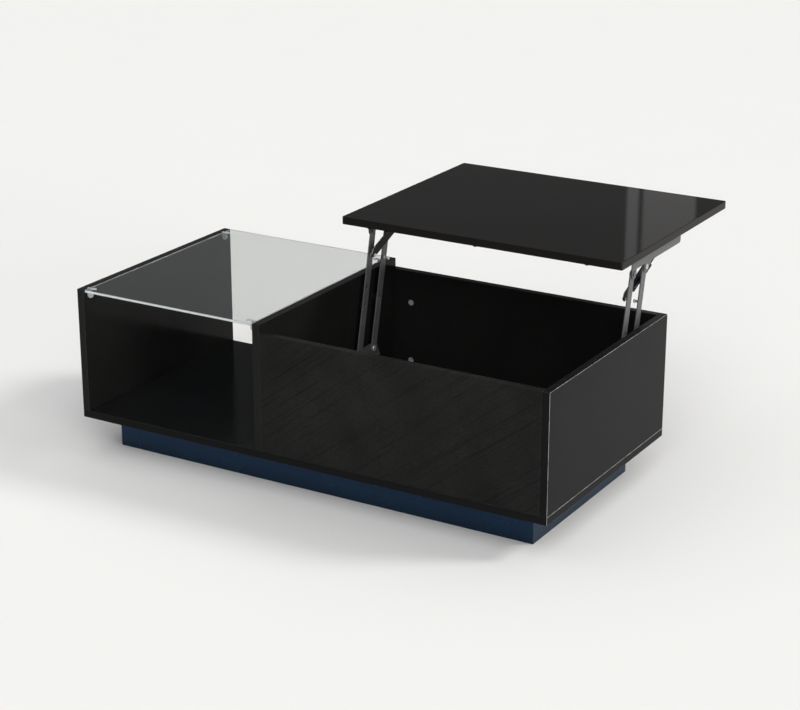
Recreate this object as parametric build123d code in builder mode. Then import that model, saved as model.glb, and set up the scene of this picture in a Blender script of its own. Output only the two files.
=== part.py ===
"""Lift top coffee table: an open shelf under glass beside a storage bin with a rising lid.

Frame: millimetres, +Z up, origin on the floor under the middle of the cabinet.
X runs along the length, -Y is the front. The lid is modelled raised, as it is used.
"""
import math
import os

from build123d import *

os.makedirs("parts", exist_ok=True)

# ---------------------------------------------------------------- driving dimensions
LENGTH = 1000.0
DEPTH = 480.0
BOARD = 15.0
EASED_EDGE = 0.8
PLINTH_HEIGHT = 66.0
PLINTH_INSET = 50.0
SHELF_WIDTH = 385.0
BIN_WALL_HEIGHT = 227.0
TALL_WALL_HEIGHT = 244.0

LID_GAP_LEFT = 2.0
LID_INSET_RIGHT = 4.0
LID_INSET_DEPTH = 4.0
LID_CORNER = 3.0
BUMPER_RADIUS = 4.0
BUMPER_HEIGHT = 1.9
BUMPER_ROW = 230.5

GLASS_THICKNESS = 5.0
GLASS_GAP = 1.5
GLASS_SETBACK = 1.0
CLIP_ROWS = (-226.0, 212.0)

# lift mechanism: a parallelogram of two arms each side, seen in the YZ plane
ARM_LENGTH = 246.0
ARM_SPACING = 53.0
OPEN_LEAN = 12.5
SWING = 77.0
FRONT_PIVOT_Y = 81.0
LOWER_PIVOT_Z = 170.0
ARM_WIDTH = 18.0
STEEL = 2.0
ARM_THICKNESS = 2.5
STAY_THICKNESS = 2.5
STAY_RATIO = -0.12
PIVOT_RADIUS = 4.0
STUD_RADIUS = 2.3
RUNNING_GAP = 0.05
FIXED_GAP = 0.02

# ---------------------------------------------------------------- derived positions
X_LEFT = -LENGTH / 2
X_RIGHT = LENGTH / 2
Y_FRONT = -DEPTH / 2
Y_BACK = DEPTH / 2
Z_BASE = PLINTH_HEIGHT
Z_FLOOR = Z_BASE + BOARD
Z_RIM = Z_FLOOR + BIN_WALL_HEIGHT
Z_TALL = Z_FLOOR + TALL_WALL_HEIGHT
X_PARTITION = X_LEFT + BOARD + SHELF_WIDTH
X_BIN_LEFT = X_PARTITION + BOARD
X_BIN_RIGHT = X_RIGHT - BOARD
Y_BIN_FRONT = Y_FRONT + BOARD
Y_BIN_BACK = Y_BACK - BOARD
MID_BOARD_FRONT = Y_FRONT + BOARD / 2
MID_BOARD_BACK = Y_BACK - BOARD / 2


def lean_vector(degrees_back, length):
    """Y and Z of a step of this length, leaning back from vertical."""
    angle = math.radians(degrees_back)
    return length * math.sin(angle), length * math.cos(angle)


OPEN_Y, OPEN_Z = lean_vector(OPEN_LEAN, ARM_LENGTH)
CLOSED_Y, CLOSED_Z = lean_vector(OPEN_LEAN - SWING, ARM_LENGTH)
LID_TRAVEL_Y = OPEN_Y - CLOSED_Y
LID_TRAVEL_Z = OPEN_Z - CLOSED_Z
Z_LID = Z_TALL - BOARD + LID_TRAVEL_Z

FRONT_LOWER = (FRONT_PIVOT_Y, LOWER_PIVOT_Z)
REAR_LOWER = (FRONT_PIVOT_Y + ARM_SPACING, LOWER_PIVOT_Z)
FRONT_UPPER = (FRONT_LOWER[0] + OPEN_Y, LOWER_PIVOT_Z + OPEN_Z)
REAR_UPPER = (REAR_LOWER[0] + OPEN_Y, LOWER_PIVOT_Z + OPEN_Z)


def along_arm(lower, distance):
    """The point on an arm's centre line at this distance above its lower pivot."""
    step_y, step_z = lean_vector(OPEN_LEAN, distance)
    return lower[0] + step_y, lower[1] + step_z


# Both arms carry a stud. The stay's hook catches the front one when the lid is raised.
FRONT_STUD_ALONG = 199.0
REAR_STUD_ALONG = 180.0
FRONT_STUD = along_arm(FRONT_LOWER, FRONT_STUD_ALONG)
REAR_STUD = along_arm(REAR_LOWER, REAR_STUD_ALONG)
STAY_PIVOT = (REAR_UPPER[0] + 78.0, Z_LID - 18.0)

# Layers of the mechanism, measured inward from the face of the board that carries it.
LAYER_BRACKET = 8.0
LAYER_WASHER = 10.1
LAYER_ARM = 11.0
LAYER_STAY = 19.0
WASHER = 0.8
SIDES = {"left": (X_BIN_LEFT, 1), "right": (X_BIN_RIGHT, -1)}


def layer_start(side, layer, thickness):
    """Lowest X of a layer, for the left or the right set."""
    face, inward = SIDES[side]
    return min(face + inward * layer, face + inward * (layer + thickness))


def finish(part, label):
    """Label a finished piece and write it."""
    part.label = label
    export_step(part, f"parts/{label}.step")


# ---------------------------------------------------------------- boards
def board(label, x_span, y_span, z_span, bores=()):
    """A rectangular board with eased edges. Each bore is plane, points, radius, depth."""
    centre = ((x_span[0] + x_span[1]) / 2, (y_span[0] + y_span[1]) / 2)
    with BuildPart() as panel:
        with BuildSketch(Plane.XY.offset(z_span[0])):
            with Locations(centre):
                Rectangle(x_span[1] - x_span[0], y_span[1] - y_span[0])
        extrude(amount=z_span[1] - z_span[0])
        fillet(panel.edges(), radius=EASED_EDGE)
        for plane, points, radius, depth in bores:
            with BuildSketch(plane):
                with Locations(*points):
                    Circle(radius)
            extrude(amount=depth, mode=Mode.SUBTRACT)
    finish(panel.part, label)


# confirmat screws from under the base into the boards that stand on it
SCREW_RADIUS = 3.0
SCREW_HEAD_RADIUS = 4.8
SCREW_HEAD = 4.0
SCREW_DEPTH = 30.0
END_SCREW_ROWS = (-150.0, 0.0, 150.0)
BIN_SCREW_COLUMNS = (50.0, 350.0)
UPRIGHT_COLUMNS = (X_LEFT + BOARD / 2, X_PARTITION + BOARD / 2, X_RIGHT - BOARD / 2)


def upright_screws(column):
    return [(column, row) for row in END_SCREW_ROWS]


def bin_wall_screws(row):
    return [(column, row) for column in BIN_SCREW_COLUMNS]


base_screw_points = [point for column in UPRIGHT_COLUMNS for point in upright_screws(column)]
base_screw_points += bin_wall_screws(MID_BOARD_FRONT) + bin_wall_screws(MID_BOARD_BACK)


def screw_bore(points):
    """Blind holes in the bottom edge of a board that stands on the base."""
    return (Plane.XY.offset(Z_FLOOR), points, SCREW_RADIUS + FIXED_GAP, SCREW_DEPTH)


# cam locks and dowels that join the bin's front and back to its two ends
CAM_RADIUS = 5.9
CAM_DEPTH = 12.2
CAM_FROM_EDGE = 44.0
CAM_HEIGHTS = (122.0, 243.0)
CAM_BOLT_RADIUS = 3.0
CAM_BOLT_HEAD = 3.4
CAM_BOLT_GRIP = 11.0
DOWEL_RADIUS = 4.0
DOWEL_HEIGHT = 185.0
DOWEL_IN_END = 10.0
DOWEL_IN_WALL = 15.0
BIN_ENDS = {"left": (X_BIN_LEFT, 1), "right": (X_BIN_RIGHT, -1)}
BIN_WALL_ROWS = (MID_BOARD_FRONT, MID_BOARD_BACK)


def end_joint_bores(face, inward):
    """Holes for the cam bolts and dowels in an upright that closes the bin."""
    plane = Plane.YZ.offset(face)
    bolts = [(row, height) for row in BIN_WALL_ROWS for height in CAM_HEIGHTS]
    dowels = [(row, DOWEL_HEIGHT) for row in BIN_WALL_ROWS]
    return [
        (plane, bolts, CAM_BOLT_RADIUS + FIXED_GAP, -inward * CAM_BOLT_GRIP),
        (plane, dowels, DOWEL_RADIUS + FIXED_GAP, -inward * DOWEL_IN_END),
    ]


def wall_joint_bores(row, inner_face):
    """Cam pockets, bolt holes and dowel holes in the bin's front or back wall."""
    out = 1 if row > 0 else -1
    columns = [X_BIN_LEFT + CAM_FROM_EDGE, X_BIN_RIGHT - CAM_FROM_EDGE]
    pockets = [(column, height) for column in columns for height in CAM_HEIGHTS]
    bores = [(Plane.XZ.offset(-inner_face), pockets, CAM_RADIUS + 0.1, -out * (CAM_DEPTH + 0.3))]
    for face, inward in BIN_ENDS.values():
        plane = Plane.YZ.offset(face)
        bolts = [(row, height) for height in CAM_HEIGHTS]
        bores.append((plane, bolts, CAM_BOLT_HEAD + 0.1, inward * CAM_FROM_EDGE))
        bores.append((plane, [(row, DOWEL_HEIGHT)], DOWEL_RADIUS + FIXED_GAP, inward * DOWEL_IN_WALL))
    return bores


# screws of the lift brackets
BRACKET_SCREW_RADIUS = 2.0
BRACKET_SCREW_HEAD = 4.0
BRACKET_SCREW_HEIGHT = 1.8
BRACKET_SCREW_LENGTH = 12.0
LOWER_PLATE = (52.0, 163.0)
LOWER_PLATE_Z = (112.0, 150.0)
LOWER_SCREWS = [(64.0, 128.0), (107.5, 128.0), (151.0, 128.0)]

# glass supports
CLIP_PIN_RADIUS = 2.5
CLIP_PIN_DEPTH = 8.0
CLIP_PIN_Z = Z_TALL - GLASS_THICKNESS - 6.0
clip_pins = [(row, CLIP_PIN_Z) for row in CLIP_ROWS]


def clip_bore(face, into):
    return (Plane.YZ.offset(face), clip_pins, CLIP_PIN_RADIUS + FIXED_GAP, into * CLIP_PIN_DEPTH)


def bracket_bore(face, into):
    depth = into * (BRACKET_SCREW_LENGTH - STEEL)
    return (Plane.YZ.offset(face), LOWER_SCREWS, BRACKET_SCREW_RADIUS + FIXED_GAP, depth)


# plinth joints
PLINTH_X = X_RIGHT - PLINTH_INSET
PLINTH_Y = Y_BACK - PLINTH_INSET
PLINTH_INNER_Y = PLINTH_Y - BOARD
BLOCK = 30.0
BLOCK_HEIGHT = 50.0
BLOCK_SCREW_RADIUS = 2.0
BLOCK_SCREW_HEAD = 4.0
BLOCK_SCREW_LENGTH = 38.0
BLOCK_MID = BLOCK / 2
PLINTH_DOWEL_HEIGHTS = (18.0, 48.0)
plinth_columns = (-PLINTH_X + BOARD / 2, 0.0, PLINTH_X - BOARD / 2)
block_x = PLINTH_X - BOARD - BLOCK_MID
block_y = PLINTH_INNER_Y - BLOCK_MID
block_centres = [(sx * block_x, sy * block_y) for sx in (-1, 1) for sy in (-1, 1)]
BLOCK_SCREW_BITE = BLOCK_SCREW_LENGTH - BLOCK

base_bores = [
    (Plane.XY.offset(Z_BASE), base_screw_points, SCREW_HEAD_RADIUS + 0.2, SCREW_HEAD + 0.5),
    (Plane.XY.offset(Z_BASE), base_screw_points, SCREW_RADIUS + FIXED_GAP, BOARD),
    (Plane.XY.offset(Z_BASE), block_centres, BLOCK_SCREW_RADIUS + FIXED_GAP, BLOCK_SCREW_BITE),
]
board("base_panel", (X_LEFT, X_RIGHT), (Y_FRONT, Y_BACK), (Z_BASE, Z_FLOOR), base_bores)

left_bores = [screw_bore(upright_screws(UPRIGHT_COLUMNS[0])), clip_bore(X_LEFT + BOARD, -1)]
board("left_end_panel", (X_LEFT, X_LEFT + BOARD), (Y_FRONT, Y_BACK), (Z_FLOOR, Z_TALL), left_bores)

partition_bores = [screw_bore(upright_screws(UPRIGHT_COLUMNS[1])), clip_bore(X_PARTITION, 1)]
partition_bores += end_joint_bores(X_BIN_LEFT, 1) + [bracket_bore(X_BIN_LEFT, -1)]
board("partition_panel", (X_PARTITION, X_BIN_LEFT), (Y_FRONT, Y_BACK), (Z_FLOOR, Z_TALL), partition_bores)

right_bores = [screw_bore(upright_screws(UPRIGHT_COLUMNS[2])), bracket_bore(X_BIN_RIGHT, 1)]
right_bores += end_joint_bores(X_BIN_RIGHT, -1)
board("right_end_panel", (X_BIN_RIGHT, X_RIGHT), (Y_FRONT, Y_BACK), (Z_FLOOR, Z_RIM), right_bores)

front_bores = [screw_bore(bin_wall_screws(MID_BOARD_FRONT))]
front_bores += wall_joint_bores(MID_BOARD_FRONT, Y_BIN_FRONT)
board("bin_front_panel", (X_BIN_LEFT, X_BIN_RIGHT), (Y_FRONT, Y_BIN_FRONT), (Z_FLOOR, Z_RIM), front_bores)

back_bores = [screw_bore(bin_wall_screws(MID_BOARD_BACK))]
back_bores += wall_joint_bores(MID_BOARD_BACK, Y_BIN_BACK)
board("bin_back_panel", (X_BIN_LEFT, X_BIN_RIGHT), (Y_BIN_BACK, Y_BACK), (Z_FLOOR, Z_RIM), back_bores)

plinth_dowel_points = [(column, height) for column in plinth_columns for height in PLINTH_DOWEL_HEIGHTS]
for label, toward in (("plinth_front", -1), ("plinth_back", 1)):
    face = toward * PLINTH_INNER_Y
    bore_depth = -toward * DOWEL_IN_END
    bores = [(Plane.XZ.offset(-face), plinth_dowel_points, DOWEL_RADIUS + FIXED_GAP, bore_depth)]
    y_span = sorted((toward * PLINTH_Y, face))
    board(label, (-PLINTH_X, PLINTH_X), y_span, (0, PLINTH_HEIGHT), bores)


def rail_dowel_bores(column):
    """Dowel holes in both ends of a plinth board that runs front to back."""
    points = [(column, height) for height in PLINTH_DOWEL_HEIGHTS]
    ends = ((PLINTH_INNER_Y, 1), (-PLINTH_INNER_Y, -1))
    return [(Plane.XZ.offset(-y), points, DOWEL_RADIUS + FIXED_GAP, s * DOWEL_IN_WALL) for y, s in ends]


rail_y = (-PLINTH_INNER_Y, PLINTH_INNER_Y)
for label, toward in (("plinth_left", -1), ("plinth_right", 1)):
    face = toward * (PLINTH_X - BOARD)
    bores = rail_dowel_bores(toward * (PLINTH_X - BOARD / 2))
    board(label, sorted((toward * PLINTH_X, face)), rail_y, (0, PLINTH_HEIGHT), bores)
board("plinth_centre_rail", (-BOARD / 2, BOARD / 2), rail_y, (0, PLINTH_HEIGHT), rail_dowel_bores(0.0))


# ---------------------------------------------------------------- joinery
def rods(label, groups):
    """Plain round pieces. Each group is plane, points, radius, length."""
    with BuildPart() as rod:
        for plane, points, radius, length in groups:
            with BuildSketch(plane):
                with Locations(*points):
                    Circle(radius)
            extrude(amount=length)
    finish(rod.part, label)


def screws(label, groups, head_radius, head_height, radius, length, recess=4.4):
    """Screws with a cross recess. Each group is plane of the head's outer face, points, direction."""
    with BuildPart() as screw:
        for plane, points, way in groups:
            with BuildSketch(plane):
                with Locations(*points):
                    Circle(head_radius)
            extrude(amount=way * head_height)
            with BuildSketch(plane.offset(way * head_height)):
                with Locations(*points):
                    Circle(radius)
            extrude(amount=way * length)
            with BuildSketch(plane):
                with Locations(*points):
                    Rectangle(recess, 1.0)
                    Rectangle(1.0, recess)
            extrude(amount=way * head_height * 0.6, mode=Mode.SUBTRACT)
    finish(screw.part, label)


screw_plane = Plane.XY.offset(Z_BASE + 0.5)
screws(
    "panel_screws",
    [(screw_plane, base_screw_points, 1)],
    SCREW_HEAD_RADIUS,
    SCREW_HEAD,
    SCREW_RADIUS,
    BOARD - SCREW_HEAD - 0.5 + SCREW_DEPTH - 1.0,
)

panel_dowel_groups = []
for face, inward in BIN_ENDS.values():
    start = face + inward * (DOWEL_IN_WALL - 1)
    points = [(row, DOWEL_HEIGHT) for row in BIN_WALL_ROWS]
    panel_dowel_groups.append(
        (Plane.YZ.offset(start), points, DOWEL_RADIUS, -inward * (DOWEL_IN_WALL + DOWEL_IN_END - 2))
    )
rods("panel_dowels", panel_dowel_groups)

plinth_dowel_groups = []
for toward in (-1, 1):
    start = toward * (PLINTH_INNER_Y - DOWEL_IN_WALL + 1)
    length = -toward * (DOWEL_IN_WALL + DOWEL_IN_END - 2)
    plinth_dowel_groups.append((Plane.XZ.offset(-start), plinth_dowel_points, DOWEL_RADIUS, length))
rods("plinth_dowels", plinth_dowel_groups)

with BuildPart() as cams:
    for row, inner_face in ((MID_BOARD_FRONT, Y_BIN_FRONT), (MID_BOARD_BACK, Y_BIN_BACK)):
        out = 1 if row > 0 else -1
        for face, inward in BIN_ENDS.values():
            column = face + inward * CAM_FROM_EDGE
            spots = [(column, height) for height in CAM_HEIGHTS]
            with BuildSketch(Plane.XZ.offset(-inner_face)):
                with Locations(*spots):
                    Circle(CAM_RADIUS)
            extrude(amount=-out * CAM_DEPTH)
            # side pocket that the bolt's head turns into
            with BuildSketch(Plane.YZ.offset(column + inward * 3.0)):
                with Locations(*[(row, height) for height in CAM_HEIGHTS]):
                    Circle(CAM_BOLT_HEAD + 0.1)
            extrude(amount=-inward * CAM_RADIUS * 2, mode=Mode.SUBTRACT)
            with BuildSketch(Plane.XZ.offset(-inner_face)):
                with Locations(*spots):
                    Rectangle(8.0, 1.4)
                    Rectangle(1.4, 8.0)
            extrude(amount=-out * 1.6, mode=Mode.SUBTRACT)
finish(cams.part, "cam_locks")

with BuildPart() as cam_bolts:
    for face, inward in BIN_ENDS.values():
        points = [(row, height) for row in BIN_WALL_ROWS for height in CAM_HEIGHTS]
        with BuildSketch(Plane.YZ.offset(face - inward * (CAM_BOLT_GRIP - 0.5))):
            with Locations(*points):
                Circle(CAM_BOLT_RADIUS)
        extrude(amount=inward * (CAM_BOLT_GRIP - 0.5 + CAM_FROM_EDGE - 2.0))
        with BuildSketch(Plane.YZ.offset(face + inward * (CAM_FROM_EDGE - 2.0))):
            with Locations(*points):
                Circle(CAM_BOLT_HEAD)
        extrude(amount=inward * 4.0)
finish(cam_bolts.part, "cam_bolts")

with BuildPart() as blocks:
    for (cx, cy) in block_centres:
        sx = 1 if cx > 0 else -1
        sy = 1 if cy > 0 else -1
        with BuildSketch(Plane.XY.offset(PLINTH_HEIGHT - BLOCK_HEIGHT)):
            with BuildLine():
                Polyline(
                    (cx + sx * BLOCK_MID, cy + sy * BLOCK_MID),
                    (cx - sx * BLOCK_MID, cy + sy * BLOCK_MID),
                    (cx - sx * BLOCK_MID, cy),
                    (cx, cy - sy * BLOCK_MID),
                    (cx + sx * BLOCK_MID, cy - sy * BLOCK_MID),
                    close=True,
                )
            make_face()
        extrude(amount=BLOCK_HEIGHT)
    with BuildSketch(Plane.XY.offset(PLINTH_HEIGHT - BLOCK_HEIGHT)):
        with Locations(*block_centres):
            Circle(BLOCK_SCREW_HEAD + 0.2)
    extrude(amount=BLOCK_HEIGHT - BLOCK + 2.0, mode=Mode.SUBTRACT)
    with BuildSketch(Plane.XY.offset(PLINTH_HEIGHT - BLOCK_HEIGHT)):
        with Locations(*block_centres):
            Circle(BLOCK_SCREW_RADIUS + FIXED_GAP)
    extrude(amount=BLOCK_HEIGHT, mode=Mode.SUBTRACT)
finish(blocks.part, "plinth_corner_blocks")

block_screw_plane = Plane.XY.offset(PLINTH_HEIGHT - BLOCK)
screws(
    "plinth_block_screws",
    [(block_screw_plane, block_centres, 1)],
    BLOCK_SCREW_HEAD,
    2.0,
    BLOCK_SCREW_RADIUS,
    BLOCK_SCREW_LENGTH - 2.5,
)


# ---------------------------------------------------------------- glass top and its supports
GLASS_X = (X_LEFT + BOARD + GLASS_GAP, X_PARTITION - GLASS_GAP)
GLASS_Z = Z_TALL - GLASS_THICKNESS
with BuildPart() as glass:
    with BuildSketch(Plane.XY.offset(GLASS_Z)):
        with Locations(((GLASS_X[0] + GLASS_X[1]) / 2, 0)):
            RectangleRounded(GLASS_X[1] - GLASS_X[0], DEPTH - 2 * GLASS_SETBACK, 3.0)
    extrude(amount=GLASS_THICKNESS)
    chamfer(glass.edges().group_by(Axis.Z)[0] + glass.edges().group_by(Axis.Z)[-1], length=0.6)
finish(glass.part, "glass_top")

CLIP_LEAF = (7.0, 21.0)
CLIP_LEAF_WIDTH = 9.0
CLIP_NECK_WIDTH = 4.0
CLIP_SHEET = 1.2
CLIP_SHOE_WIDTH = 4.0
CLIP_SHOE_REACH = 9.0
CLIP_SHOE_DROP = 13.0
CLIP_SHOE_TIP = 4.0


def clip(face, out, row):
    """One support: a leaf on the glass, a web in the gap and a drop shaped shoe below."""
    leaf_start = face + out * CLIP_LEAF[0]
    leaf_end = face + out * CLIP_LEAF[1]
    leaf_middle = (leaf_start + leaf_end) / 2
    half = CLIP_LEAF_WIDTH / 2
    with BuildPart() as support:
        with BuildSketch(Plane.XY.offset(Z_TALL)):
            with BuildLine():
                ThreePointArc((leaf_start, row), (leaf_middle, row + half), (leaf_end, row))
                ThreePointArc((leaf_end, row), (leaf_middle, row - half), (leaf_start, row))
            make_face()
            with Locations(((face + leaf_middle) / 2, row)):
                Rectangle(abs(leaf_middle - face), CLIP_NECK_WIDTH)
        extrude(amount=CLIP_SHEET)
        web_depth = GLASS_GAP - 0.2
        with BuildSketch(Plane.XY.offset(GLASS_Z - CLIP_SHOE_DROP / 2)):
            with Locations((face + out * web_depth / 2, row)):
                Rectangle(web_depth, CLIP_NECK_WIDTH)
        extrude(amount=CLIP_SHOE_DROP / 2 + GLASS_THICKNESS + CLIP_SHEET / 2)
        near = face + out * 0.4
        far = face + out * CLIP_SHOE_REACH
        with BuildSketch(Plane.XZ.offset(-row - CLIP_SHOE_WIDTH / 2)):
            with BuildLine():
                Polyline((far, GLASS_Z - 3.0), (far, GLASS_Z), (near, GLASS_Z), (near, GLASS_Z - 9.0))
                ThreePointArc(
                    (near, GLASS_Z - 9.0),
                    (face + out * CLIP_SHOE_TIP, GLASS_Z - CLIP_SHOE_DROP),
                    (far, GLASS_Z - 3.0),
                )
            make_face()
        extrude(amount=CLIP_SHOE_WIDTH)
        with BuildSketch(Plane.YZ.offset(face + out * 0.5)):
            with Locations((row, CLIP_PIN_Z)):
                Circle(CLIP_PIN_RADIUS)
        extrude(amount=-out * (CLIP_PIN_DEPTH - 0.5))
    return support.part


with BuildPart() as clips:
    for row in CLIP_ROWS:
        add(clip(X_LEFT + BOARD, 1, row))
        add(clip(X_PARTITION, -1, row))
finish(clips.part, "glass_clips")

# ---------------------------------------------------------------- lid
LID_X = (X_BIN_LEFT + LID_GAP_LEFT, X_RIGHT - LID_INSET_RIGHT)
LID_Y = (Y_FRONT + LID_INSET_DEPTH + LID_TRAVEL_Y, Y_BACK - LID_INSET_DEPTH + LID_TRAVEL_Y)
LID_SCREW_DEPTH = 10.0
TOP_FLANGE = 22.0
TOP_FLANGE_DEPTH = 27.0
TAB_RADIUS = 9.5
TOP_BRACKET_Y = (FRONT_UPPER[0] - TAB_RADIUS, FRONT_UPPER[0] - TAB_RADIUS + 215.0)
TOP_SCREW_ROWS = [TOP_BRACKET_Y[0] + step for step in (20.0, 78.0, 136.0, 194.0)]


def top_screw_points(side):
    face, inward = SIDES[side]
    column = face + inward * (LAYER_BRACKET + TOP_FLANGE * 0.6)
    return [(column, row) for row in TOP_SCREW_ROWS]


with BuildPart() as lid:
    with BuildSketch(Plane.XY.offset(Z_LID)):
        with Locations(((LID_X[0] + LID_X[1]) / 2, (LID_Y[0] + LID_Y[1]) / 2)):
            RectangleRounded(LID_X[1] - LID_X[0], LID_Y[1] - LID_Y[0], LID_CORNER)
    extrude(amount=BOARD)
    fillet(lid.edges().group_by(Axis.Z)[0] + lid.edges().group_by(Axis.Z)[-1], radius=1.0)
    with BuildSketch(Plane.XY.offset(Z_LID)):
        with Locations(*top_screw_points("left"), *top_screw_points("right")):
            Circle(BRACKET_SCREW_RADIUS + FIXED_GAP)
    extrude(amount=LID_SCREW_DEPTH, mode=Mode.SUBTRACT)
finish(lid.part, "lid_board")

# soft feet under the lid, over the bin's front and back walls when it is closed
bumper_columns = (X_BIN_LEFT + 60.0, (X_BIN_LEFT + X_BIN_RIGHT) / 2, X_BIN_RIGHT - 60.0)
bumper_rows = [row + LID_TRAVEL_Y for row in (-BUMPER_ROW, BUMPER_ROW)]
with BuildPart() as bumpers:
    with BuildSketch(Plane.XY.offset(Z_LID)):
        with Locations(*[(column, row) for column in bumper_columns for row in bumper_rows]):
            Circle(BUMPER_RADIUS)
    extrude(amount=-BUMPER_HEIGHT)
    chamfer(bumpers.edges().group_by(Axis.Z)[0], length=0.6)
finish(bumpers.part, "lid_bumpers")


# ---------------------------------------------------------------- lift mechanism
def top_bracket(side):
    """Angle bracket under the lid, with a rounded tab at each pivot."""
    inward = SIDES[side][1]
    flange_bottom = Z_LID - TOP_FLANGE_DEPTH
    rear_y, rear_z = REAR_UPPER
    with BuildPart() as bracket:
        with BuildSketch(Plane.YZ.offset(layer_start(side, LAYER_BRACKET, STEEL))):
            with BuildLine():
                Polyline(
                    (TOP_BRACKET_Y[0], Z_LID),
                    (TOP_BRACKET_Y[0], FRONT_UPPER[1]),
                    (FRONT_UPPER[0] + TAB_RADIUS, FRONT_UPPER[1]),
                    (FRONT_UPPER[0] + TAB_RADIUS, flange_bottom),
                    (rear_y - TAB_RADIUS, flange_bottom),
                    (rear_y - TAB_RADIUS, rear_z),
                    (rear_y + TAB_RADIUS * 0.8, rear_z - TAB_RADIUS * 0.6),
                    (rear_y + TAB_RADIUS * 2.4, flange_bottom),
                    (TOP_BRACKET_Y[1], flange_bottom),
                    (TOP_BRACKET_Y[1], Z_LID),
                    close=True,
                )
            make_face()
            with Locations(FRONT_UPPER, REAR_UPPER):
                Circle(TAB_RADIUS)
            with Locations(FRONT_UPPER, REAR_UPPER, STAY_PIVOT):
                Circle(PIVOT_RADIUS + FIXED_GAP, mode=Mode.SUBTRACT)
        extrude(amount=STEEL)
        rear_corner = bracket.edges().filter_by(Axis.X).group_by(Axis.Y)[-1].sort_by(Axis.Z)[0]
        fillet(rear_corner, radius=6.0)
        flange_x = layer_start(side, LAYER_BRACKET, TOP_FLANGE)
        with BuildSketch(Plane.XY.offset(Z_LID - STEEL)):
            with Locations((flange_x + TOP_FLANGE / 2, sum(TOP_BRACKET_Y) / 2)):
                Rectangle(TOP_FLANGE, TOP_BRACKET_Y[1] - TOP_BRACKET_Y[0])
            with Locations(*top_screw_points(side)):
                Circle(BRACKET_SCREW_RADIUS + 0.3, mode=Mode.SUBTRACT)
        extrude(amount=STEEL)
        inner_corners = bracket.edges().filter_by(Axis.Z).group_by(Axis.X)[-1 if inward > 0 else 0]
        fillet(inner_corners, radius=4.0)
    finish(bracket.part, f"top_bracket_{side}")


def lower_bracket(side):
    """Stepped bracket on the bin wall: screw plate, shelf and upright pivot plate."""
    plate_y = (FRONT_LOWER[0] - TAB_RADIUS * 1.4, REAR_LOWER[0] + TAB_RADIUS * 1.4)
    with BuildPart() as bracket:
        with BuildSketch(Plane.YZ.offset(layer_start(side, 0, STEEL))):
            with Locations((sum(LOWER_PLATE) / 2, sum(LOWER_PLATE_Z) / 2)):
                RectangleRounded(LOWER_PLATE[1] - LOWER_PLATE[0], LOWER_PLATE_Z[1] - LOWER_PLATE_Z[0], 5.0)
            with Locations((sum(LOWER_PLATE) / 2, LOWER_PLATE_Z[1] - 5.0)):
                Rectangle(LOWER_PLATE[1] - LOWER_PLATE[0], 10.0)
            with Locations(*LOWER_SCREWS):
                Circle(BRACKET_SCREW_RADIUS + 0.3, mode=Mode.SUBTRACT)
        extrude(amount=STEEL)
        shelf_depth = LAYER_BRACKET + STEEL
        shelf_x = layer_start(side, 0, shelf_depth) + shelf_depth / 2
        with BuildSketch(Plane.XY.offset(LOWER_PLATE_Z[1] - STEEL)):
            with Locations((shelf_x, sum(LOWER_PLATE) / 2)):
                Rectangle(shelf_depth, LOWER_PLATE[1] - LOWER_PLATE[0])
        extrude(amount=STEEL)
        with BuildSketch(Plane.YZ.offset(layer_start(side, LAYER_BRACKET, STEEL))):
            with BuildLine():
                Polyline(
                    (LOWER_PLATE[0], LOWER_PLATE_Z[1] - STEEL),
                    (plate_y[0], LOWER_PIVOT_Z + TAB_RADIUS),
                    (plate_y[1], LOWER_PIVOT_Z + TAB_RADIUS),
                    (LOWER_PLATE[1], LOWER_PLATE_Z[1] - STEEL),
                    close=True,
                )
            make_face()
            with Locations(FRONT_LOWER, REAR_LOWER):
                Circle(PIVOT_RADIUS + FIXED_GAP, mode=Mode.SUBTRACT)
        extrude(amount=STEEL)
        top_corners = bracket.edges().filter_by(Axis.X).group_by(Axis.Z)[-1]
        fillet(top_corners, radius=8.0)
    finish(bracket.part, f"lower_bracket_{side}")


STUD_SEAT = 1.0
ARM_SLOT = (9.5, 6.0)
FRONT_ARM_SLOTS = (101.0, 135.0)
REAR_ARM_SLOTS = (102.0,)
ARM_GROOVE = (60.0, 5.0, 0.6)


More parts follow.
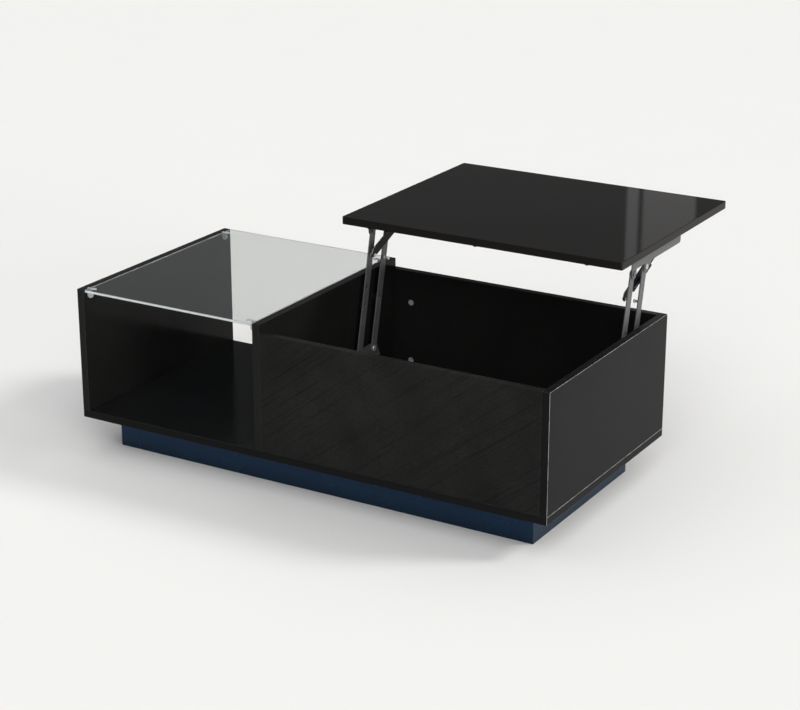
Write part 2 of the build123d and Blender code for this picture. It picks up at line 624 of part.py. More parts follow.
def arm(label, side, lower, stud, slots, stud_hole_through):
    """Flat steel arm with rounded ends, a pressed groove outside, a stud hole and oblong holes."""
    axis_angle = 90.0 - OPEN_LEAN
    start = layer_start(side, LAYER_ARM, ARM_THICKNESS)
    face, inward = SIDES[side]
    outer = Plane.YZ.offset(face + inward * LAYER_ARM)
    inner = Plane.YZ.offset(face + inward * (LAYER_ARM + ARM_THICKNESS))
    hole_depth = ARM_THICKNESS if stud_hole_through else ARM_THICKNESS - STUD_SEAT
    with BuildPart() as bar:
        with BuildSketch(Plane.YZ.offset(start)):
            with Locations(along_arm(lower, ARM_LENGTH / 2)):
                SlotCenterToCenter(ARM_LENGTH, ARM_WIDTH, rotation=axis_angle)
        extrude(amount=ARM_THICKNESS)
        fillet(bar.edges(), radius=0.5)
        with BuildSketch(outer):
            with Locations(lower, along_arm(lower, ARM_LENGTH)):
                Circle(PIVOT_RADIUS + RUNNING_GAP)
            with Locations(*[along_arm(lower, distance) for distance in slots]):
                SlotOverall(ARM_SLOT[0], ARM_SLOT[1], rotation=axis_angle)
        extrude(amount=inward * ARM_THICKNESS, mode=Mode.SUBTRACT)
        with BuildSketch(inner):
            with Locations(stud):
                Circle(STUD_RADIUS + FIXED_GAP)
        extrude(amount=-inward * hole_depth, mode=Mode.SUBTRACT)
        with BuildSketch(outer):
            with Locations(along_arm(lower, 52.0)):
                SlotOverall(ARM_GROOVE[0], ARM_GROOVE[1], rotation=axis_angle)
        extrude(amount=inward * ARM_GROOVE[2], mode=Mode.SUBTRACT)
    finish(bar.part, label)


STAY_EYE_RADIUS = 9.5
STAY_NOSE_RADIUS = 9.5
STAY_NOSE = (FRONT_STUD[0] + 3.0, FRONT_STUD[1] + 5.2)
STAY_LIP_RADIUS = 6.0
STAY_LIP = (FRONT_STUD[0] - 2.5, FRONT_STUD[1] + 1.7)
HOOK_RADIUS = STUD_RADIUS + 0.3
HOOK_SWINGS = (0.0, 9.0, 18.0)
LIP_FLANGE = (24.0, 105.0)
LIP_FLANGE_DEPTH = 3.5
LIP_FLANGE_SHEET = 1.8
STAY_BEND_RADIUS = 2.0


def stud_in_stay(swing):
    """Where the front stud lies in the raised stay's frame once the arms have swung this far."""
    step_y, step_z = lean_vector(OPEN_LEAN - swing, ARM_LENGTH - FRONT_STUD_ALONG)
    y = FRONT_UPPER[0] - step_y - STAY_PIVOT[0]
    z = FRONT_UPPER[1] - step_z - STAY_PIVOT[1]
    turn = math.radians(-STAY_RATIO * swing)
    turned_y = y * math.cos(turn) - z * math.sin(turn)
    turned_z = y * math.sin(turn) + z * math.cos(turn)
    return STAY_PIVOT[0] + turned_y, STAY_PIVOT[1] + turned_z


def stay(side):
    """Stay on its own pivot behind the arms: a hooked nose over the stud and a flanged lower edge."""
    face, inward = SIDES[side]
    plane = Plane.YZ.offset(face + inward * LAYER_STAY)
    reach_y = STAY_PIVOT[0] - STAY_NOSE[0]
    reach_z = STAY_PIVOT[1] - STAY_NOSE[1]
    reach = math.hypot(reach_y, reach_z)
    slope = math.degrees(math.atan2(reach_z, reach_y))
    taper = math.degrees(math.asin((STAY_NOSE_RADIUS - STAY_EYE_RADIUS) / reach))
    hook_path = [stud_in_stay(swing) for swing in HOOK_SWINGS]
    with BuildPart() as plate:
        with BuildSketch(plane):
            with Locations(STAY_PIVOT):
                Circle(STAY_EYE_RADIUS)
            with Locations(STAY_NOSE):
                Circle(STAY_NOSE_RADIUS)
            with Locations(STAY_LIP):
                Circle(STAY_LIP_RADIUS)
            make_hull()
        extrude(amount=inward * STAY_THICKNESS)
        long_edges = plate.edges().filter_by(GeomType.LINE).filter_by(lambda edge: edge.length > 80.0)
        lower_edges = long_edges.sort_by(Axis.Z)[0:2].sort_by(Axis.X)
        fillet(lower_edges[-1 if inward > 0 else 0], radius=STAY_BEND_RADIUS)
        with BuildSketch(plane):
            with Locations(STAY_PIVOT):
                Circle(PIVOT_RADIUS + RUNNING_GAP)
            for near, far in zip(hook_path, hook_path[1:]):
                step = (far[0] - near[0], far[1] - near[1])
                with Locations(((near[0] + far[0]) / 2, (near[1] + far[1]) / 2)):
                    SlotCenterToCenter(
                        math.hypot(*step),
                        HOOK_RADIUS * 2,
                        rotation=math.degrees(math.atan2(step[1], step[0])),
                    )
        extrude(amount=inward * STAY_THICKNESS, mode=Mode.SUBTRACT)
        # lip along the lower edge, turned towards the arms
        lip_slope = slope + taper
        lip_middle = sum(LIP_FLANGE) / 2
        lip_drop = STAY_NOSE_RADIUS - LIP_FLANGE_SHEET / 2 - lip_middle * math.sin(math.radians(taper))
        along = math.radians(slope)
        lip_y = STAY_NOSE[0] + lip_middle * math.cos(along) + lip_drop * math.sin(along)
        lip_z = STAY_NOSE[1] + lip_middle * math.sin(along) - lip_drop * math.cos(along)
        with BuildSketch(Plane.YZ.offset(face + inward * (LAYER_STAY + STAY_THICKNESS / 2))):
            with Locations((lip_y, lip_z)):
                Rectangle(LIP_FLANGE[1] - LIP_FLANGE[0], LIP_FLANGE_SHEET, rotation=lip_slope)
        extrude(amount=-inward * (LIP_FLANGE_DEPTH + STAY_THICKNESS / 2))
    finish(plate.part, f"stay_{side}")


for side in SIDES:
    top_bracket(side)
    lower_bracket(side)
    arm(f"front_arm_{side}", side, FRONT_LOWER, FRONT_STUD, FRONT_ARM_SLOTS, False)
    arm(f"rear_arm_{side}", side, REAR_LOWER, REAR_STUD, REAR_ARM_SLOTS, True)
    stay(side)


def stepped_pins(label, points, steps):
    """Pins along X in both sets. Each step is first layer, last layer, radius."""
    with BuildPart() as pin:
        for face, inward in SIDES.values():
            for first, last, radius in steps:
                with BuildSketch(Plane.YZ.offset(face + inward * first)):
                    with Locations(*points):
                        Circle(radius)
                extrude(amount=inward * (last - first))
    finish(pin.part, label)


def washers(label, points, outer, first, last):
    """Nylon rings around the pivots in both sets, from the first layer to the last."""
    with BuildPart() as washer:
        for face, inward in SIDES.values():
            with BuildSketch(Plane.YZ.offset(face + inward * first)):
                with Locations(*points):
                    Circle(outer)
                with Locations(*points):
                    Circle(PIVOT_RADIUS + FIXED_GAP, mode=Mode.SUBTRACT)
            extrude(amount=inward * (last - first))
    finish(washer.part, label)


def rivet(tail_start):
    """Steps of a pivot rivet whose inner head starts at this layer."""
    return (
        (LAYER_BRACKET - 1.4, LAYER_BRACKET, 5.0),
        (LAYER_BRACKET, tail_start, PIVOT_RADIUS),
        (tail_start, tail_start + 1.4, 5.8),
        (tail_start + 1.4, tail_start + 2.2, 4.6),
    )


ARM_RIVET = rivet(LAYER_ARM + ARM_THICKNESS + 0.1)
STAY_RIVET = rivet(LAYER_STAY + STAY_THICKNESS + 0.2)[1:]
STUD_COLLAR = 1.4
STUD_HEAD_START = LAYER_STAY + STAY_THICKNESS + 0.3
STUD = (
    (LAYER_ARM + STUD_SEAT, STUD_HEAD_START, STUD_RADIUS),
    (LAYER_ARM + ARM_THICKNESS, LAYER_ARM + ARM_THICKNESS + STUD_COLLAR, STUD_RADIUS + 1.1),
    (STUD_HEAD_START, STUD_HEAD_START + 1.8, 3.4),
    (STUD_HEAD_START + 1.8, STUD_HEAD_START + 2.6, 2.4),
)
stepped_pins("lower_pivot_pins", (FRONT_LOWER, REAR_LOWER), ARM_RIVET)
stepped_pins("front_upper_pins", (FRONT_UPPER,), ARM_RIVET)
stepped_pins("rear_upper_pins", (REAR_UPPER,), ARM_RIVET)
stepped_pins("stay_pivot_pins", (STAY_PIVOT,), STAY_RIVET)
stepped_pins("front_arm_studs", (FRONT_STUD,), STUD)
stepped_pins("rear_arm_studs", (REAR_STUD,), STUD)

WASHER_RADIUS = 7.5
SPACER_RADIUS = 6.5
WASHER_LAYERS = (LAYER_WASHER, LAYER_WASHER + WASHER)
washers("lower_pivot_washers", (FRONT_LOWER, REAR_LOWER), WASHER_RADIUS, *WASHER_LAYERS)
washers("upper_pivot_washers", (FRONT_UPPER, REAR_UPPER), WASHER_RADIUS, *WASHER_LAYERS)
washers("stay_pivot_spacers", (STAY_PIVOT,), SPACER_RADIUS, LAYER_WASHER, LAYER_STAY - 0.1)

lower_groups = []
top_groups = []
for side, (face, inward) in SIDES.items():
    head_plane = Plane.YZ.offset(face + inward * (STEEL + BRACKET_SCREW_HEIGHT))
    lower_groups.append((head_plane, LOWER_SCREWS, -inward))
    top_groups.append((Plane.XY.offset(Z_LID - STEEL - BRACKET_SCREW_HEIGHT), top_screw_points(side), 1))
shank = BRACKET_SCREW_LENGTH - 1.0
screws(
    "lower_bracket_screws",
    lower_groups,
    BRACKET_SCREW_HEAD,
    BRACKET_SCREW_HEIGHT,
    BRACKET_SCREW_RADIUS,
    shank,
)
screws(
    "top_bracket_screws",
    top_groups,
    BRACKET_SCREW_HEAD,
    BRACKET_SCREW_HEIGHT,
    BRACKET_SCREW_RADIUS,
    shank,
)
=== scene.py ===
import math

import bmesh
import bpy
from mathutils import Matrix, Vector


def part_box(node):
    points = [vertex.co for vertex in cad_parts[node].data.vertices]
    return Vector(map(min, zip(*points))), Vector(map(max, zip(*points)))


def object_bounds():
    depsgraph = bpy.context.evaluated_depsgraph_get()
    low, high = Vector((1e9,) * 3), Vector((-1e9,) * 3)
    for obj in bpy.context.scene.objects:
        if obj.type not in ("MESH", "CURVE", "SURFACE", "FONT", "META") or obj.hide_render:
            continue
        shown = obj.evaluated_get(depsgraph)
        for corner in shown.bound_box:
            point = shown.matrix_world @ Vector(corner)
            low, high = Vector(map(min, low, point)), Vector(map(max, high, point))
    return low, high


# Looks of the lift top coffee table: gloss boards, glass, steel lift arms, floor, light and camera.
# Metres, +Z up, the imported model's own frame. The table stands on z = 0 with its front at -Y.

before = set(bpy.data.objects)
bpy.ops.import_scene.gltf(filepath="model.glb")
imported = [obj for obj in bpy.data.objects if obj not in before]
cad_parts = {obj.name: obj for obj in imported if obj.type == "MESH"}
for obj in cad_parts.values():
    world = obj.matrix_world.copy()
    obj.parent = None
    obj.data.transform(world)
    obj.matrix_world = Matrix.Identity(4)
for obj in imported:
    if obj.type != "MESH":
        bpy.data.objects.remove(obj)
cad_low, cad_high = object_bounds()
centre = (cad_low + cad_high) / 2

# The bodies' nodes by the material that they take.
SLOT_NODES = {
    "black_gloss_board": ("left_end_panel", "partition_panel", "bin_back_panel"),
    "black_gloss_end": ("base_panel", "right_end_panel"),
    "black_gloss_front": ("bin_front_panel",),
    "black_gloss_lid": ("lid_board",),
    "blue_plinth_board": ("plinth_front", "plinth_back", "plinth_left", "plinth_right"),
    "raw_wood": ("plinth_centre_rail", "plinth_corner_blocks", "plinth_dowels", "panel_dowels"),
    "clear_glass": ("glass_top",),
    "clear_clip": ("glass_clips",),
    "bumper_rubber": ("lid_bumpers",),
    "grey_steel": (
        "front_arm_left", "front_arm_right", "rear_arm_left", "rear_arm_right",
        "top_bracket_left", "top_bracket_right", "lower_bracket_left", "lower_bracket_right",
        "front_upper_pins", "stay_pivot_pins",
    ),
    "black_steel": ("stay_left", "stay_right"),
    "bright_steel": ("lower_pivot_pins", "front_arm_studs", "rear_arm_studs"),
    "zinc_fastener": (
        "panel_screws", "plinth_block_screws", "lower_bracket_screws", "top_bracket_screws",
        "cam_locks", "cam_bolts", "rear_upper_pins",
    ),
    "black_nylon": ("lower_pivot_washers", "upper_pivot_washers", "stay_pivot_spacers"),
}


# ---------------------------------------------------------------- node helpers
def set_range(node, low, high, to_low, to_high):
    """The four numbers of a Map Range node."""
    for socket, number in zip(("From Min", "From Max", "To Min", "To Max"), (low, high, to_low, to_high)):
        node.inputs[socket].default_value = number


class Nodes:
    """Short calls for building one material's node tree around its Principled shader."""

    def __init__(self, name, **values):
        self.material = bpy.data.materials.new(name)
        self.material.use_nodes = True
        self.tree = self.material.node_tree
        self.shader = self.tree.nodes["Principled BSDF"]
        for socket, value in values.items():
            self.shader.inputs[socket.replace("_", " ")].default_value = value
        self.coordinates = self.tree.nodes.new("ShaderNodeTexCoord")

    def link(self, source, target):
        self.tree.links.new(source, target)

    def place(self, scale=(1, 1, 1), turn=(0, 0, 0)):
        """The piece's own coordinates in metres, turned and then stretched."""
        node = self.tree.nodes.new("ShaderNodeMapping")
        node.vector_type = "TEXTURE"
        node.inputs["Rotation"].default_value = [math.radians(a) for a in turn]
        node.inputs["Scale"].default_value = scale
        self.link(self.coordinates.outputs["Object"], node.inputs["Vector"])
        return node.outputs["Vector"]

    def noise(self, vector, scale, detail=2.0, roughness=0.5, distortion=0.0):
        node = self.tree.nodes.new("ShaderNodeTexNoise")
        node.inputs["Scale"].default_value = scale
        node.inputs["Detail"].default_value = detail
        node.inputs["Roughness"].default_value = roughness
        node.inputs["Distortion"].default_value = distortion
        self.link(vector, node.inputs["Vector"])
        return node.outputs["Fac"]

    def fit(self, value, low, high, to_low, to_high):
        """A value from low..high moved to to_low..to_high, and held there."""
        node = self.tree.nodes.new("ShaderNodeMapRange")
        set_range(node, low, high, to_low, to_high)
        self.link(value, node.inputs["Value"])
        return node.outputs["Result"]

    def maths(self, operation, first, second):
        node = self.tree.nodes.new("ShaderNodeMath")
        node.operation = operation
        for socket, value in zip(node.inputs, (first, second)):
            if isinstance(value, (int, float)):
                socket.default_value = value
            else:
                self.link(value, socket)
        return node.outputs["Value"]

    def blend(self, share, first, second):
        """Colours mixed by a share. Each is a colour or an output."""
        node = self.tree.nodes.new("ShaderNodeMix")
        node.data_type = "RGBA"
        self.link(share, node.inputs["Factor"])
        colours = [s for s in node.inputs if s.type == "RGBA"]
        for socket, value in zip(colours, (first, second)):
            if isinstance(value, tuple):
                socket.default_value = (*value, 1.0)
            else:
                self.link(value, socket)
        return next(s for s in node.outputs if s.type == "RGBA")

    def split(self, vector):
        """The X, Y and Z of a vector, as outputs by name."""
        parts = self.tree.nodes.new("ShaderNodeSeparateXYZ")
        self.link(vector, parts.inputs["Vector"])
        return parts.outputs

    def rightward(self):
        """How far a surface faces +X: 0 for not at all, 1 for half way and more."""
        normal = self.split(self.coordinates.outputs["Normal"])
        return self.fit(normal["X"], 0.1, 0.45, 0.0, 1.0)

    def side(self):
        """0 on a face that looks along an axis, rising to 1 on the eased edge between two."""
        absolute = self.tree.nodes.new("ShaderNodeVectorMath")
        absolute.operation = "ABSOLUTE"
        self.link(self.coordinates.outputs["Normal"], absolute.inputs[0])
        parts = self.split(absolute.outputs["Vector"])
        largest = self.maths("MAXIMUM", parts["X"], parts["Y"])
        largest = self.maths("MAXIMUM", largest, parts["Z"])
        return self.fit(largest, 0.97, 0.80, 0.0, 1.0)

    def height(self):
        """The piece's own z in metres."""
        return self.split(self.coordinates.outputs["Object"])["Z"]

    def colour(self, value):
        self.link(value, self.shader.inputs["Base Color"])

    def roughness(self, value):
        self.link(value, self.shader.inputs["Roughness"])

    def bump(self, *layers):
        """Bump layers in order, each of value, strength and distance in metres."""
        normal = None
        for value, strength, distance in layers:
            node = self.tree.nodes.new("ShaderNodeBump")
            node.inputs["Strength"].default_value = strength
            node.inputs["Distance"].default_value = distance
            self.link(value, node.inputs["Height"])
            if normal is not None:
                self.link(normal, node.inputs["Normal"])
            normal = node.outputs["Normal"]
        self.link(normal, self.shader.inputs["Normal"])


# ---------------------------------------------------------------- materials
# The front board's streaks and fibres climb to the right. Sizes are metres, the last across the streak.
GRAIN_TURN = (0, -37, 0)
STREAK_SIZE = (0.26, 0.26, 0.0050)
FIBRE_SIZE = (0.012, 0.012, 0.0022)


def gloss_black(name, dark, light, edge, painted_edge_highlight, rough, specular, streaks=0.0, peel_depth=0.03):
    """Black lacquered board: orange peel, faint clouds and lighter eased edges, with a painted highlight on
    the edges that face +X.
    """
    m = Nodes(name, Specular_IOR_Level=specular)
    plain = m.place()
    cloud = m.noise(plain, 9.0, 4.0)
    grain = m.noise(plain, 700.0, 3.0, 0.65)
    tone = m.maths("ADD", m.maths("MULTIPLY", cloud, 0.25), m.maths("MULTIPLY", grain, 0.75))
    tone = m.fit(tone, 0.35, 0.65, 0.0, 1.0)
    if streaks:
        line = m.noise(m.place(STREAK_SIZE, GRAIN_TURN), 1.0, 5.0, 0.62)
        fibre = m.noise(m.place(FIBRE_SIZE, GRAIN_TURN), 1.0, 4.0, 0.7)
        line = m.fit(line, 0.33, 0.47, 1 - streaks, 1.0)
        woven = m.maths("MULTIPLY", m.fit(fibre, 0.3, 0.7, 0.4, 1.0), line)
        tone = m.maths("MULTIPLY", tone, woven)
    face = m.blend(tone, dark, light)
    eased_edge_mask = m.maths("MULTIPLY", m.side(), m.fit(m.noise(plain, 60.0, 4.0, 0.6), 0.35, 0.6, 0.45, 1.0))
    # Eased edges take a lighter wear tone. Where they face +X, towards the key lamp, a painted highlight
    # takes its place.
    m.colour(m.blend(eased_edge_mask, face, m.blend(m.rightward(), edge, painted_edge_highlight)))
    scuffs = m.noise(m.place((1, 1, 0.25), (0, 25, 0)), 38.0, 6.0, 0.7)
    scuffs = m.fit(scuffs, 0.4, 0.75, 0.0, rough * 0.5)
    shine = m.maths("ADD", m.fit(cloud, 0.3, 0.7, rough, rough * 1.35), scuffs)
    m.roughness(m.maths("ADD", shine, m.maths("MULTIPLY", eased_edge_mask, 0.18)))
    peel = m.noise(plain, 260.0, 1.0)
    m.bump((peel, peel_depth, 0.0004), (grain, 0.04 if streaks else 0.02, 0.0002))
    return m.material


def blue_board():
    """Navy satin coat on the plinth, with a painted glow: bluer and brighter towards the table's base,
    darker near the floor.
    """
    m = Nodes("blue_plinth_board", Specular_IOR_Level=0.18)
    plain = m.place()
    grain = m.noise(plain, 900.0, 3.0, 0.6)
    cloud = m.noise(plain, 14.0, 4.0)
    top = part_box("plinth_front")[1].z
    # Painted light: the colour brightens from the floor up to the top edge, as if a blue glow fell on it
    # from under the base.
    rise = m.fit(m.height(), 0.0, top, 0.0, 1.0)
    tone = m.maths("ADD", m.maths("MULTIPLY", rise, 0.8), m.maths("MULTIPLY", cloud, 0.2))
    film_with_painted_glow = m.blend(tone, (0.003, 0.008, 0.014), (0.001, 0.036, 0.105))
    film_with_painted_glow = m.blend(m.fit(grain, 0.3, 0.7, 0.0, 0.35), film_with_painted_glow, (0.009, 0.030, 0.060))
    eased_edge_mask = m.maths("MULTIPLY", m.side(), m.fit(m.noise(plain, 55.0, 4.0), 0.35, 0.6, 0.3, 0.9))
    m.colour(m.blend(eased_edge_mask, film_with_painted_glow, (0.04, 0.07, 0.11)))
    m.roughness(m.maths("ADD", m.fit(cloud, 0.3, 0.7, 0.22, 0.30), m.maths("MULTIPLY", eased_edge_mask, 0.2)))
    m.bump((grain, 0.05, 0.0002), (m.noise(plain, 240.0, 1.0), 0.04, 0.0004))
    return m.material


def raw_wood():
    """Raw beech and board: long grain, pores and a dry surface."""
    m = Nodes("raw_wood", Specular_IOR_Level=0.3)
    rings = m.noise(m.place((0.12, 0.02, 0.02)), 1.6, 6.0, 0.62, 0.8)
    pores = m.noise(m.place((0.02, 0.0016, 0.0016)), 1.0, 3.0, 0.6)
    wood = m.blend(m.fit(rings, 0.3, 0.7, 0.0, 1.0), (0.36, 0.22, 0.11), (0.60, 0.43, 0.26))
    m.colour(m.blend(m.fit(pores, 0.25, 0.45, 0.5, 0.0), wood, (0.22, 0.12, 0.06)))
    m.roughness(m.fit(rings, 0.3, 0.7, 0.62, 0.8))
    m.bump((pores, 0.25, 0.0003), (rings, 0.1, 0.0004))
    return m.material


def clear_glass():
    """Clear tempered pane. Its ground edge scatters light, so it looks pale."""
    m = Nodes("clear_glass", IOR=1.5)
    upward = m.maths("ABSOLUTE", m.split(m.coordinates.outputs["Normal"])["Z"], 0.0)
    edge = m.fit(upward, 0.9, 0.5, 0.0, 1.0)
    m.colour(m.blend(edge, (0.97, 0.99, 0.98), (0.80, 0.84, 0.86)))
    plain = m.place()
    smudge = m.fit(m.noise(plain, 16.0, 5.0, 0.6), 0.5, 0.75, 0.0, 0.03)
    grind = m.noise(m.place((0.002, 0.002, 0.0003)), 1.0, 3.0)
    m.roughness(m.maths("ADD", smudge, m.maths("MULTIPLY", edge, m.fit(grind, 0.3, 0.7, 0.25, 0.4))))
    m.link(m.fit(edge, 0.0, 1.0, 1.0, 0.35), m.shader.inputs["Transmission Weight"])
    m.bump((m.noise(plain, 22.0, 1.0), 0.02, 0.001))
    return m.material


def clear_clip():
    """Moulded clear plastic, slightly milky."""
    m = Nodes("clear_clip", IOR=1.49, Transmission_Weight=0.45, Coat_Weight=0.5, Coat_Roughness=0.08)
    flow = m.noise(m.place(), 160.0, 3.0)
    m.colour(m.blend(m.fit(flow, 0.3, 0.7, 0.0, 1.0), (0.70, 0.70, 0.73), (0.90, 0.90, 0.92)))
    m.roughness(m.fit(flow, 0.3, 0.7, 0.10, 0.24))
    m.bump((flow, 0.1, 0.0004))
    return m.material


def rubber():
    """Soft black rubber with a fine speck."""
    m = Nodes("bumper_rubber", Specular_IOR_Level=0.3)
    speck = m.noise(m.place(), 1500.0, 3.0, 0.7)
    m.colour(m.blend(m.fit(speck, 0.35, 0.65, 0.0, 1.0), (0.010, 0.010, 0.010), (0.030, 0.029, 0.028)))
    m.roughness(m.fit(speck, 0.3, 0.7, 0.65, 0.85))
    m.bump((speck, 0.2, 0.0002))
    return m.material


def powder_coat(name, dark, light, bare_edge_and_highlight, rough, specular=0.5):
    """Powder coated steel: fine orange peel, and lighter eased edges worn through to the metal; on the
    black stays these pale edges are partly a painted highlight.
    """
    m = Nodes(name, Specular_IOR_Level=specular)
    plain = m.place()
    peel = m.noise(plain, 1100.0, 2.0, 0.6)
    cloud = m.noise(plain, 40.0, 5.0, 0.6)
    tone = m.maths("ADD", m.maths("MULTIPLY", peel, 0.5), m.maths("MULTIPLY", cloud, 0.5))
    paint = m.blend(m.fit(tone, 0.35, 0.65, 0.0, 1.0), dark, light)
    eased_edge_mask = m.maths("MULTIPLY", m.side(), m.fit(m.noise(plain, 180.0, 4.0, 0.6), 0.42, 0.6, 0.0, 0.9))
    m.colour(m.blend(eased_edge_mask, paint, bare_edge_and_highlight))
    m.roughness(m.fit(cloud, 0.3, 0.7, rough, rough + 0.1))
    m.bump((peel, 0.12, 0.0003))
    return m.material


def plated(name, dark, light, rough, brush, metal):
    """Plated steel with turning marks, part dulled where metal is below 1."""
    m = Nodes(name, Metallic=metal)
    marks = m.noise(m.place((0.0008, 0.004, 0.004)), 1.0, 3.0)
    stain = m.noise(m.place(), 220.0, 5.0, 0.6)
    m.colour(m.blend(m.fit(stain, 0.35, 0.65, 0.0, 1.0), dark, light))
    dull = m.fit(stain, 0.3, 0.7, rough, rough + 0.1)
    m.roughness(m.maths("ADD", dull, m.maths("MULTIPLY", marks, brush)))
    m.bump((marks, 0.06, 0.0002))
    return m.material


def nylon():
    """Moulded black nylon."""
    m = Nodes("black_nylon", Specular_IOR_Level=0.45)
    flow = m.noise(m.place(), 500.0, 3.0)
    m.colour(m.blend(m.fit(flow, 0.3, 0.7, 0.0, 1.0), (0.010, 0.010, 0.011), (0.022, 0.022, 0.024)))
    m.roughness(m.fit(flow, 0.3, 0.7, 0.42, 0.56))
    m.bump((flow, 0.08, 0.0002))
    return m.material


# One material per slot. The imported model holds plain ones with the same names, so the slot is the key.
MATERIALS = {
    "black_gloss_board": gloss_black(
        "black_gloss_board",
        dark=(0.0080, 0.0078, 0.0075), light=(0.0145, 0.0141, 0.0135),
        edge=(0.020, 0.019, 0.018), painted_edge_highlight=(0.034, 0.034, 0.034),
        rough=0.10, specular=0.06,
    ),
    "black_gloss_end": gloss_black(
        "black_gloss_end",
        dark=(0.0056, 0.0058, 0.0061), light=(0.0098, 0.0102, 0.0107),
        # The near-white colour on the +X edges of the base and right end is a painted highlight.
        edge=(0.030, 0.029, 0.028), painted_edge_highlight=(0.50, 0.50, 0.49),
        rough=0.10, specular=0.035,
    ),
    "black_gloss_front": gloss_black(
        "black_gloss_front",
        dark=(0.0040, 0.0039, 0.0038), light=(0.0285, 0.0278, 0.0266),
        edge=(0.014, 0.014, 0.013), painted_edge_highlight=(0.030, 0.030, 0.030),
        rough=0.14, specular=0.05, streaks=0.60,
    ),
    "black_gloss_lid": gloss_black(
        "black_gloss_lid",
        dark=(0.0040, 0.0032, 0.0026), light=(0.0066, 0.0056, 0.0048),
        edge=(0.022, 0.018, 0.015), painted_edge_highlight=(0.036, 0.030, 0.026),
        rough=0.018, specular=0.086, peel_depth=0.015,
    ),
    "blue_plinth_board": blue_board(),
    "raw_wood": raw_wood(),
    "clear_glass": clear_glass(),
    "clear_clip": clear_clip(),
    "bumper_rubber": rubber(),
    "grey_steel": powder_coat(
        "grey_steel",
        dark=(0.064, 0.065, 0.067), light=(0.094, 0.096, 0.099), bare_edge_and_highlight=(0.26, 0.26, 0.26),
        rough=0.34,
    ),
    "black_steel": powder_coat(
        "black_steel",
        # The pale edges of the black stays are partly worn-through metal and partly a painted highlight.
        dark=(0.003, 0.003, 0.003), light=(0.006, 0.006, 0.007), bare_edge_and_highlight=(0.45, 0.45, 0.46),
        rough=0.30, specular=0.06,
    ),
    "bright_steel": plated(
        "bright_steel",
        dark=(0.78, 0.77, 0.76), light=(0.92, 0.91, 0.90),
        rough=0.30, brush=0.10, metal=0.80,
    ),
    "zinc_fastener": plated(
        "zinc_fastener",
        dark=(0.46, 0.46, 0.47), light=(0.66, 0.66, 0.66),
        rough=0.32, brush=0.12, metal=0.55,
    ),
    "black_nylon": nylon(),
}

for slot, names in SLOT_NODES.items():
    for name in names:
        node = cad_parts[name]
        node.data.materials.clear()
        node.data.materials.append(MATERIALS[slot])


# ---------------------------------------------------------------- object helpers
def add_object(name, data):
    """A new object in the scene."""
    holder = bpy.data.objects.new(name, data)
    bpy.context.scene.collection.objects.link(holder)
    return holder


def turn_object(holder, rotation):
    """Turn an object by a quaternion."""
    holder.rotation_mode = "QUATERNION"
    holder.rotation_quaternion = rotation


# ---------------------------------------------------------------- floor
FLOOR_HALF = 30.0


def make_floor():
    """A wide pale floor at the table's foot."""
    mesh = bpy.data.meshes.new("studio_floor")
    grid = bmesh.new()
    bmesh.ops.create_grid(grid, x_segments=8, y_segments=8, size=FLOOR_HALF)
    grid.to_mesh(mesh)
    grid.free()
    floor = add_object("studio_floor", mesh)
    m = Nodes("studio_floor", Specular_IOR_Level=0.1, Roughness=0.7)
    m.colour(m.blend(m.noise(m.place(), 3.0, 3.0), (0.775, 0.767, 0.750), (0.785, 0.777, 0.760)))
    mesh.materials.append(m.material)


make_floor()


# ---------------------------------------------------------------- light
# Far lamps: name, degrees right of +Y, degrees up, degrees wide, strength, colour.
LAMPS = (
    ("key", 59.3, 38.0, 14.0, 1.45, (1.0, 0.985, 0.96)),
    ("fill", 150.0, 36.0, 50.0, 1.30, (0.98, 0.99, 1.0)),
    ("right_fill", 112.0, 13.0, 16.0, 0.80, (1.0, 0.99, 0.98)),
)
# Panels: name, degrees left of +Y and degrees wide, both from the eye, radiance, colour.
PANELS = (
    ("window_left", 24.07, 0.33, 0.34, (0.96, 1.0, 1.0)),
    ("window_right", 23.03, 1.49, 0.34, (1.0, 0.97, 0.96)),
)
# Metres from the eye to a panel, a panel's height, and its lower edge above the floor.
PANEL_DISTANCE = 18.0
PANEL_HEIGHT = 9.0
PANEL_FOOT = 1.2
# The sky's strength goes from low to high between these heights on a unit sphere.
SKY_HEIGHTS = (0.42, 0.85)
SKY_STRENGTHS = (0.16, 0.94)
SKY_COLOUR = (0.97, 0.985, 1.0)
BACKDROP = (0.905, 0.892, 0.863)


def make_lamp(name, heading, height, softness, strength, colour):
    """A far soft lamp."""
    lamp = bpy.data.lights.new(name, "SUN")
    lamp.energy = strength
    lamp.angle = math.radians(softness)
    lamp.color = colour
    turn, up = math.radians(heading), math.radians(height)
    to_lamp = Vector((math.sin(turn) * math.cos(up), math.cos(turn) * math.cos(up), math.sin(up)))
    turn_object(add_object(name, lamp), to_lamp.to_track_quat("Z", "Y"))


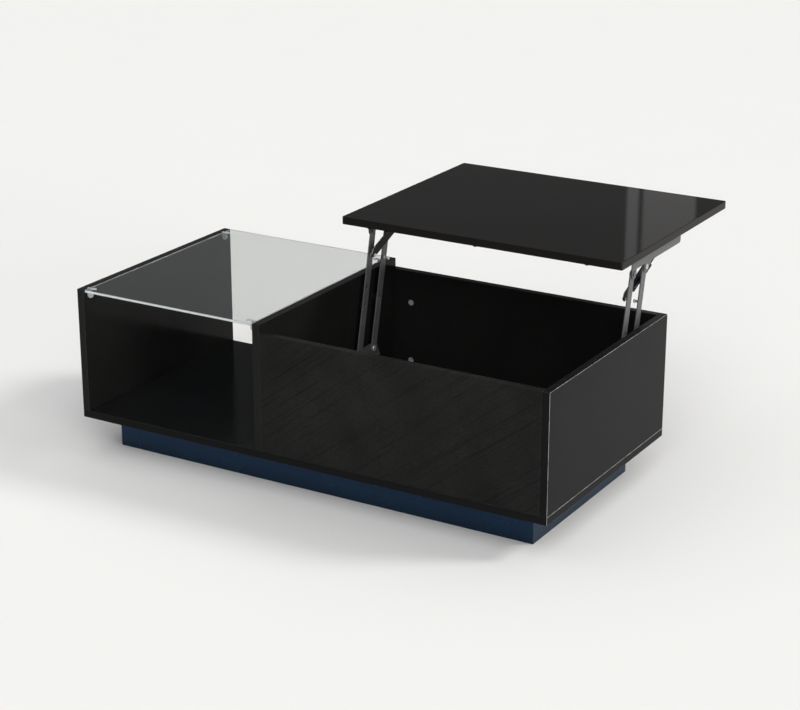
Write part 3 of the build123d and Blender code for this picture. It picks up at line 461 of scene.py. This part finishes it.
def make_world():
    """A studio: dim near the horizon, bright overhead, and a pale backdrop where the camera looks at it."""
    world = bpy.data.worlds.new("studio")
    bpy.context.scene.world = world
    world.use_nodes = True
    tree = world.node_tree
    place = tree.nodes.new("ShaderNodeTexCoord")
    parts = tree.nodes.new("ShaderNodeSeparateXYZ")
    tree.links.new(place.outputs["Generated"], parts.inputs["Vector"])
    ramp = tree.nodes.new("ShaderNodeMapRange")
    ramp.interpolation_type = "SMOOTHSTEP"
    set_range(ramp, *SKY_HEIGHTS, *SKY_STRENGTHS)
    tree.links.new(parts.outputs["Z"], ramp.inputs["Value"])
    studio = tree.nodes["Background"]
    studio.inputs["Color"].default_value = (*SKY_COLOUR, 1.0)
    tree.links.new(ramp.outputs["Result"], studio.inputs["Strength"])
    backdrop = tree.nodes.new("ShaderNodeBackground")
    backdrop.inputs["Color"].default_value = (*BACKDROP, 1.0)
    path = tree.nodes.new("ShaderNodeLightPath")
    mix = tree.nodes.new("ShaderNodeMixShader")
    tree.links.new(path.outputs["Is Camera Ray"], mix.inputs["Fac"])
    tree.links.new(studio.outputs["Background"], mix.inputs[1])
    tree.links.new(backdrop.outputs["Background"], mix.inputs[2])
    tree.links.new(mix.outputs["Shader"], tree.nodes["World Output"].inputs["Surface"])


def make_panel(eye, name, heading, spread, radiance, colour):
    """An upright soft panel far behind the table, seen only as a reflection."""
    width = 2 * PANEL_DISTANCE * math.tan(math.radians(spread / 2))
    lamp = bpy.data.lights.new(name, "AREA")
    lamp.shape = "RECTANGLE"
    lamp.size, lamp.size_y = width, PANEL_HEIGHT
    lamp.energy = radiance * math.pi * width * PANEL_HEIGHT
    lamp.color = colour
    holder = add_object(name, lamp)
    angle = math.radians(heading)
    away = Vector((-math.sin(angle), math.cos(angle), 0.0))
    holder.location = Vector((eye.x, eye.y, PANEL_FOOT + PANEL_HEIGHT / 2)) + away * PANEL_DISTANCE
    turn_object(holder, away.to_track_quat("Z", "Y"))
    holder.visible_camera = False


# ---------------------------------------------------------------- camera
# The eye in degrees right of -Y and degrees up, and metres to the aim point. Lens and sensor in
# millimetres. The aim point in metres from the table's middle, along the picture's right and up.
VIEW_AZIMUTH = 30.74
VIEW_ELEVATION = 19.69
VIEW_DISTANCE = 3.987
LENS = 92.68
SENSOR = 36.0
FAR_CLIP = 200.0
AIM_RIGHT = -0.0113
AIM_UP = -0.0580


def make_camera():
    """A long lens at the front right, looking down on the table. Gives its position."""
    azimuth, elevation = math.radians(VIEW_AZIMUTH), math.radians(VIEW_ELEVATION)
    back = Vector((
        math.sin(azimuth) * math.cos(elevation),
        -math.cos(azimuth) * math.cos(elevation),
        math.sin(elevation),
    ))
    right = Vector((math.cos(azimuth), math.sin(azimuth), 0.0))
    up = back.cross(right)
    camera = bpy.data.cameras.new("camera")
    camera.lens = LENS
    camera.sensor_width = SENSOR
    camera.clip_end = FAR_CLIP
    holder = add_object("camera", camera)
    holder.location = centre + right * AIM_RIGHT + up * AIM_UP + back * VIEW_DISTANCE
    turn_object(holder, Matrix((right, up, back)).transposed().to_quaternion())
    bpy.context.scene.camera = holder
    return holder.location.copy()


eye = make_camera()
for lamp in LAMPS:
    make_lamp(*lamp)
make_world()
for panel in PANELS:
    make_panel(eye, *panel)
bpy.context.scene.view_settings.view_transform = "Standard"
bpy.context.scene.view_settings.look = "None"
